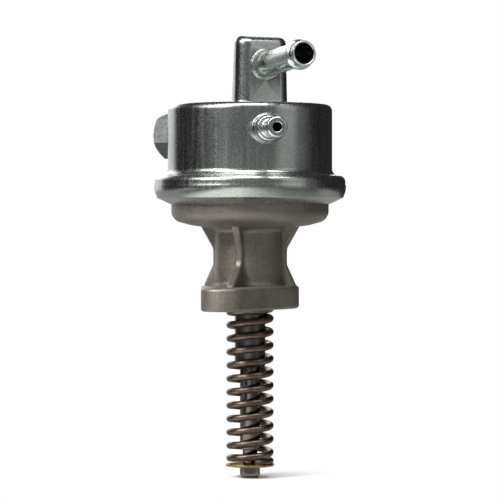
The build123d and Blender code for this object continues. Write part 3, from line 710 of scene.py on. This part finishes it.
# the distance between two bands of Blender's wave texture at scale 1
band_spacing = math.pi / 10
waves = []
for direction in ("X", "Y"):
    waves.append(add(
        tree, "ShaderNodeTexWave",
        {"Vector": place.outputs["Object"], "Scale": band_spacing / thread},
        bands_direction=direction,
    ))
weave = add(
    tree, "ShaderNodeMath", {0: waves[0].outputs["Fac"], 1: waves[1].outputs["Fac"]},
    operation="MULTIPLY",
)
tone = add(tree, "ShaderNodeValToRGB", {"Fac": weave.outputs[0]})
tone.color_ramp.elements[0].color = linear("#26211d")
tone.color_ramp.elements[1].color = linear("#3d3731")
tree.links.new(tone.outputs["Color"], shader.inputs["Base Color"])
dull = add(tree, "ShaderNodeMapRange", {"Value": weave.outputs[0], "To Min": 0.7, "To Max": 0.55})
tree.links.new(dull.outputs[0], shader.inputs["Roughness"])
bump = add(
    tree, "ShaderNodeBump", {"Height": weave.outputs[0], "Strength": 0.4, "Distance": weave_depth},
)
tree.links.new(bump.outputs[0], shader.inputs["Normal"])

membrane_t = 0.8 * mm
membrane_low, membrane_high = (corner.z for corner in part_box("diaphragm"))
membrane_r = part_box("diaphragm")[1].x
membrane_hole_r = 2.02 * mm
# the fold climbs from fold_r to clamped_r, and its upper side lies further in by fold_lean
fold_r = 21.0 * mm
clamped_r = 25.7 * mm
fold_lean = 0.5 * mm
outer_round = 1.4 * mm
inner_round = 0.6 * mm
clamp_round = 2.2 * mm
membrane = turn_rings("coated_diaphragm", rounded_section([
    (membrane_hole_r, membrane_low, 0),
    (fold_r, membrane_low, outer_round),
    (clamped_r, membrane_high - membrane_t, outer_round),
    (membrane_r, membrane_high - membrane_t, 0),
    (membrane_r, membrane_high, 0),
    (clamped_r - fold_lean, membrane_high, clamp_round),
    (fold_r - fold_lean, membrane_low + membrane_t, inner_round),
    (membrane_hole_r, membrane_low + membrane_t, 0),
    (membrane_hole_r, membrane_low, 0),
]), sides=96)
give(membrane, coated_cloth)
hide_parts("diaphragm")
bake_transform(membrane)
for name in ("upper_plate", "lower_plate", "stem_washer"):
    give(nodes[name], zinc_sheet)

# Valve plate: die-cast aluminium like the lower casting, with a wall between its two chambers.
# The cover's rolled edge clamps it, and a fibre gasket seals it to the cover.
give(nodes["valve_body"], die_cast)
gasket_fibre, tree, shader = new_material("pressed_gasket_fibre")
# Buff grey and quite matt, with short fibres lying all ways in the sheet.
place = add(tree, "ShaderNodeTexCoord")
fibre_size = 1.0 * mm
fibre_depth = 0.04 * mm
fibres = add(
    tree, "ShaderNodeTexNoise",
    {"Vector": place.outputs["Object"], "Scale": 1 / fibre_size, "Detail": 5.0, "Distortion": 2.0},
)
tone = add(tree, "ShaderNodeValToRGB", {"Fac": fibres.outputs["Fac"]})
tone.color_ramp.elements[0].position = 0.3
tone.color_ramp.elements[0].color = linear("#6b655a")
tone.color_ramp.elements[1].position = 0.7
tone.color_ramp.elements[1].color = linear("#928a7b")
tree.links.new(tone.outputs["Color"], shader.inputs["Base Color"])
dull = add(
    tree, "ShaderNodeMapRange", {"Value": fibres.outputs["Fac"], "To Min": 0.75, "To Max": 0.92},
)
tree.links.new(dull.outputs[0], shader.inputs["Roughness"])
bump = add(
    tree, "ShaderNodeBump",
    {"Height": fibres.outputs["Fac"], "Strength": 0.3, "Distance": fibre_depth},
)
tree.links.new(bump.outputs[0], shader.inputs["Normal"])
give(nodes["cover_gasket"], gasket_fibre)

# Check valves, two alike, the inlet's upside down: a turned brass seat pressed into the valve plate,
# a moulded disc on its post, a light stainless spring, and a pressed brass cap that holds the spring.
turned_brass, tree, shader = new_material("turned_brass")
# Yellow brass, gone slightly brown in fuel, with the fine rings of the lathe tool.
place = add(tree, "ShaderNodeTexCoord")
tool_ring_spacing = 0.4 * mm
tool_ring_length = 5 * mm
tool_scale = (1 / tool_ring_length, 1 / tool_ring_length, 1 / tool_ring_spacing)
tool_lay = add(tree, "ShaderNodeMapping", {"Vector": place.outputs["Object"], "Scale": tool_scale})
turning = add(
    tree, "ShaderNodeTexNoise", {"Vector": tool_lay.outputs["Vector"], "Scale": 1.0, "Detail": 3.0},
)
tone = add(tree, "ShaderNodeValToRGB", {"Fac": turning.outputs["Fac"]})
tone.color_ramp.elements[0].position = 0.3
tone.color_ramp.elements[0].color = linear("#a58445")
tone.color_ramp.elements[1].position = 0.7
tone.color_ramp.elements[1].color = linear("#c9a864")
tree.links.new(tone.outputs["Color"], shader.inputs["Base Color"])
dull = add(
    tree, "ShaderNodeMapRange", {"Value": turning.outputs["Fac"], "To Min": 0.22, "To Max": 0.36},
)
tree.links.new(dull.outputs[0], shader.inputs["Roughness"])
shader.inputs["Metallic"].default_value = 1.0

disc_resin, tree, shader = new_material("moulded_phenolic_resin")
# Dark red brown and satin, with the faint cloudiness of a filled resin.
place = add(tree, "ShaderNodeTexCoord")
filler_size = 1.2 * mm
filler = add(
    tree, "ShaderNodeTexNoise",
    {"Vector": place.outputs["Object"], "Scale": 1 / filler_size, "Detail": 4.0},
)
tone = add(tree, "ShaderNodeValToRGB", {"Fac": filler.outputs["Fac"]})
tone.color_ramp.elements[0].position = 0.3
tone.color_ramp.elements[0].color = linear("#3a241b")
tone.color_ramp.elements[1].position = 0.7
tone.color_ramp.elements[1].color = linear("#513528")
tree.links.new(tone.outputs["Color"], shader.inputs["Base Color"])
dull = add(
    tree, "ShaderNodeMapRange", {"Value": filler.outputs["Fac"], "To Min": 0.35, "To Max": 0.5},
)
tree.links.new(dull.outputs[0], shader.inputs["Roughness"])

stainless_wire, tree, shader = new_material("drawn_stainless_wire")
# Light grey and fairly bright, with slight streaks from the wire-drawing die.
place = add(tree, "ShaderNodeTexCoord")
die_mark_size = 0.5 * mm
die_marks = add(
    tree, "ShaderNodeTexNoise",
    {"Vector": place.outputs["Object"], "Scale": 1 / die_mark_size, "Detail": 3.0},
)
tone = add(tree, "ShaderNodeValToRGB", {"Fac": die_marks.outputs["Fac"]})
tone.color_ramp.elements[0].position = 0.3
tone.color_ramp.elements[0].color = linear("#a9a9a6")
tone.color_ramp.elements[1].position = 0.7
tone.color_ramp.elements[1].color = linear("#c2c2bf")
tree.links.new(tone.outputs["Color"], shader.inputs["Base Color"])
dull = add(
    tree, "ShaderNodeMapRange", {"Value": die_marks.outputs["Fac"], "To Min": 0.2, "To Max": 0.32},
)
tree.links.new(dull.outputs[0], shader.inputs["Roughness"])
shader.inputs["Metallic"].default_value = 1.0

valve_spring_length = 2.7 * mm
valve_coil_r = 2.6 * mm
valve_wire_d = 0.5 * mm
valve_offset = 12.3 * mm
outlet_bearing = 42
outlet_side = toward(outlet_bearing)
# name, side of the partition, height of the spring's lower end, height of its end on the cap
valves = [
    ("inlet_valve", -1, 50.9 * mm, 50.9 * mm),
    ("outlet_valve", 1, 59.8 * mm, 62.5 * mm),
]
for valve, side, spring_foot, cap_end in valves:
    give(nodes[valve + "_seat"], turned_brass)
    give(nodes[valve + "_cap"], turned_brass)
    give(nodes[valve + "_disc"], disc_resin)
    axis = outlet_side * valve_offset * side
    spring_head = spring_foot + valve_spring_length
    light_spring = wind_spring(
        valve + "_spring_wire", valve_coil_r, valve_wire_d, spring_foot, spring_head,
        turns=2.5, start_bearing=0, at=(axis.x, axis.y), steps=32, sides=10,
    )
    give(light_spring, stainless_wire)
    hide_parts(valve + "_spring")
    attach(light_spring, "housing")
    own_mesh(light_spring)

# Top cover: deep-drawn from one steel sheet and zinc plated, its edge rolled under the casting's rim.
# The drum holds the valve plate, and the tower above it turns the fuel into the outlet tube.
# Its rounds are the soft ones of drawn sheet, and the tower is taken over from the CAD cover.
drum_r = 31.2 * mm
drum_top = 77.3 * mm
sheet_t = 1.4 * mm
ledge_z = 50.3 * mm
tier_r = 36.25 * mm
seam_z = 46.8 * mm
# the rolled edge stays this far inside the box of the CAD cover
inside_cad = 0.01 * mm
curl_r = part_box("top_cover")[1].x - inside_cad
rim_in_r = 35.1 * mm
rim_foot = 42.95 * mm
stack_top = 48.9 * mm
lip_r = 30.3 * mm
lip_low = 39.5 * mm
lip_high = 40.8 * mm
drum_top_round = 2.6 * mm
drum_foot_round = 2.6 * mm
tier_round = 2.4 * mm
# the rolled edge from the seam down: how far inside its widest radius, height, rounding
curl = [
    (0.0, 46.5 * mm, 0),
    (0.0, 45.7 * mm, 0),
    (0.15 * mm, 44.6 * mm, 0),
    (0.5 * mm, 43.4 * mm, 0),
    (1.1 * mm, 41.9 * mm, 0.7 * mm),
]
# rings across the deck and down the drum's wall, which keep the faces small and the shading even
deck_ring_step = 2 * mm
wall_ring_step = 1 * mm
deck_rings = [(ring * deck_ring_step, drum_top, 0) for ring in range(1, 15)]
wall_top = drum_top - drum_top_round
wall_rings = [(drum_r, wall_top - ring * wall_ring_step, 0) for ring in range(1, 20)]
# a radius of almost nothing, whose ring is merged to one point
pole = 0.001 * mm
cover = turn_rings("drawn_cover", rounded_section([
    (pole, drum_top, 0),
    *deck_rings,
    (drum_r, drum_top, drum_top_round),
    *wall_rings,
    (drum_r, ledge_z, drum_foot_round),
    (tier_r, ledge_z, tier_round),
    (tier_r, seam_z, 0),
    *[(curl_r - inset, height, rounding) for inset, height, rounding in curl],
    (lip_r, lip_low, 0),
    (lip_r, lip_high, 0),
    (rim_in_r, rim_foot, 0),
    (rim_in_r, stack_top, 0),
    (drum_r - sheet_t, stack_top, drum_foot_round + sheet_t),
    (drum_r - sheet_t, drum_top - sheet_t, drum_top_round - sheet_t),
    (pole, drum_top - sheet_t, 0),
]), sides=160)

# The tower is a copy of the CAD cover, cut just above the drum's deck. Its open foot is drawn down
# into the deck and closed.
cut_above_deck = 0.02 * mm
cut_tolerance = 0.0001 * mm
tower_sink = 0.5 * mm
tower = bpy.data.objects.new("tower", nodes["top_cover"].data.copy())
bpy.context.scene.collection.objects.link(tower)
bpy.ops.object.select_all(action="DESELECT")
tower.select_set(True)
bpy.context.view_layer.objects.active = tower
bpy.ops.object.mode_set(mode="EDIT")
bpy.ops.mesh.select_all(action="SELECT")
bpy.ops.mesh.remove_doubles(threshold=weld)
bpy.ops.mesh.select_all(action="SELECT")
bpy.ops.mesh.bisect(
    plane_co=(0, 0, drum_top + cut_above_deck), plane_no=(0, 0, 1),
    use_fill=False, clear_inner=True, threshold=cut_tolerance,
)
bpy.ops.mesh.select_all(action="DESELECT")
bpy.ops.mesh.select_non_manifold()
bpy.ops.mesh.extrude_region_move()
bpy.ops.transform.translate(value=(0, 0, -tower_sink))
bpy.ops.mesh.fill()
bpy.ops.mesh.select_all(action="SELECT")
bpy.ops.mesh.normals_make_consistent(inside=False)
bpy.ops.object.mode_set(mode="OBJECT")

# The flared boss that the return nipple is brazed into, turned at the origin and then set on the
# drum's wall. Its heights are counted outward from the wall.
boss_r = 5.2 * mm
boss_h = 0.9 * mm
boss_edge_round = 0.5 * mm
boss_foot_r = 5.7 * mm
boss_foot_round = 1.0 * mm
boss_foot = -0.1 * mm
boss_flare_r = 7.4 * mm
boss_flare = -0.9 * mm
return_bearing = 29
return_z = 67.3 * mm
boss = turn_rings("boss", rounded_section([
    (pole, boss_h, 0),
    (boss_r, boss_h, boss_edge_round),
    (boss_foot_r, boss_foot, boss_foot_round),
    (boss_flare_r, boss_flare, 0),
    (boss_flare_r, -sheet_t, 0),
    (pole, -sheet_t, 0),
]), sides=64)
return_side = toward(return_bearing)
return_spot = return_side * drum_r + Vector((0, 0, return_z))
aim = return_side.to_track_quat("Z", "Y").to_matrix().to_4x4()
boss.data.transform(Matrix.Translation(return_spot) @ aim)

# The holes under the nipple, the inlet fitting and the tower
nipple_hole_r = 2.6 * mm
inlet_hole_r = 6.9 * mm
inlet_bearing = -109
inlet_z = 66.2 * mm
tower_hole_r = 6.0 * mm
tower_offset = 6.5 * mm
drill_length = 6 * sheet_t
inlet_side = toward(inlet_bearing)
inlet_spot = inlet_side * drum_r + Vector((0, 0, inlet_z))
tower_spot = outlet_side * tower_offset + Vector((0, 0, drum_top))
# name of the cutter, its radius, the middle of its length and its direction
drills = [
    ("nipple_hole", nipple_hole_r, return_spot, return_side),
    ("inlet_hole", inlet_hole_r, inlet_spot, inlet_side),
    ("tower_hole", tower_hole_r, tower_spot, Vector((0, 0, 1))),
]
cutters = []
for name, radius, middle, direction in drills:
    bpy.ops.mesh.primitive_cylinder_add(vertices=64, radius=radius, depth=drill_length)
    cutter = bpy.context.object
    cutter.name = name
    aim = direction.to_track_quat("Z", "Y").to_matrix().to_4x4()
    cutter.data.transform(Matrix.Translation(middle) @ aim)
    cutters.append(cutter)

# The boss is joined to the sheet, the holes are drilled through both, and the tower is put on last.
cover_smooth = 35
joints = [(boss, "UNION")] + [(cutter, "DIFFERENCE") for cutter in cutters] + [(tower, "UNION")]
for part, operation in joints:
    bpy.ops.object.select_all(action="DESELECT")
    cover.select_set(True)
    bpy.context.view_layer.objects.active = cover
    bpy.ops.object.modifier_add(type="BOOLEAN")
    boolean = cover.modifiers[-1]
    boolean.operation = operation
    boolean.object = part
    bpy.ops.object.modifier_apply(modifier=boolean.name)
    bpy.data.objects.remove(part)
bpy.ops.object.shade_smooth_by_angle(angle=math.radians(cover_smooth))
bpy.ops.object.modifier_add(type="WEIGHTED_NORMAL")
weighted = cover.modifiers[-1]
weighted.keep_sharp = True
bpy.ops.object.modifier_apply(modifier=weighted.name)
give(cover, zinc_sheet)
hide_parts("top_cover")
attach(cover, "housing")

# Outlet tube and return nipple: steel, bright zinc plated, brazed into the cover.
# The beads near their ends hold the hoses on.
bright_zinc, tree, shader = new_material("bright_zinc_plated_tube")
# Whiter and smoother than the cover, with a faint green cast and a soft unevenness.
place = add(tree, "ShaderNodeTexCoord")
film_size = 2 * mm
film = add(
    tree, "ShaderNodeTexNoise",
    {"Vector": place.outputs["Object"], "Scale": 1 / film_size, "Detail": 3.0},
)
tone = add(tree, "ShaderNodeValToRGB", {"Fac": film.outputs["Fac"]})
tone.color_ramp.elements[0].position = 0.3
tone.color_ramp.elements[0].color = linear("#d6dedb")
tone.color_ramp.elements[1].position = 0.7
tone.color_ramp.elements[1].color = linear("#e8eeeb")
tree.links.new(tone.outputs["Color"], shader.inputs["Base Color"])
dull = add(
    tree, "ShaderNodeMapRange", {"Value": film.outputs["Fac"], "To Min": 0.15, "To Max": 0.24},
)
tree.links.new(dull.outputs[0], shader.inputs["Roughness"])
shader.inputs["Metallic"].default_value = 1.0
for name in ("outlet_tube", "return_nipple"):
    give(nodes[name], bright_zinc)

# Inlet fitting: hexagon steel bar, turned and threaded, with a dull plating.
# It is brazed into the drum's wall, and the fuel line's flare nut screws into it.
dull_plate, tree, shader = new_material("dull_plated_bar_steel")
# Flat grey without a mirror in it, and lighter where a spanner has rubbed the corners.
place = add(tree, "ShaderNodeTexCoord")
film_size = 1.2 * mm
worn_width = 0.4 * mm
worn_share = 0.5
film = add(
    tree, "ShaderNodeTexNoise",
    {"Vector": place.outputs["Object"], "Scale": 1 / film_size, "Detail": 4.0},
)
tone = add(tree, "ShaderNodeValToRGB", {"Fac": film.outputs["Fac"]})
tone.color_ramp.elements[0].position = 0.3
tone.color_ramp.elements[0].color = linear("#666968")
tone.color_ramp.elements[1].position = 0.7
tone.color_ramp.elements[1].color = linear("#828584")
edges = worn_edges(tree, worn_width)
worn = add(tree, "ShaderNodeMath", {0: edges, 1: worn_share}, operation="MULTIPLY")
rubbed = add(
    tree, "ShaderNodeMix", {0: worn.outputs[0], 6: tone.outputs["Color"], 7: linear("#b9bcbb")},
    data_type="RGBA",
)
tree.links.new(rubbed.outputs[2], shader.inputs["Base Color"])
dull = add(
    tree, "ShaderNodeMapRange", {"Value": film.outputs["Fac"], "To Min": 0.38, "To Max": 0.52},
)
tree.links.new(dull.outputs[0], shader.inputs["Roughness"])
shader.inputs["Metallic"].default_value = 1.0
give(nodes["inlet_fitting"], dull_plate)
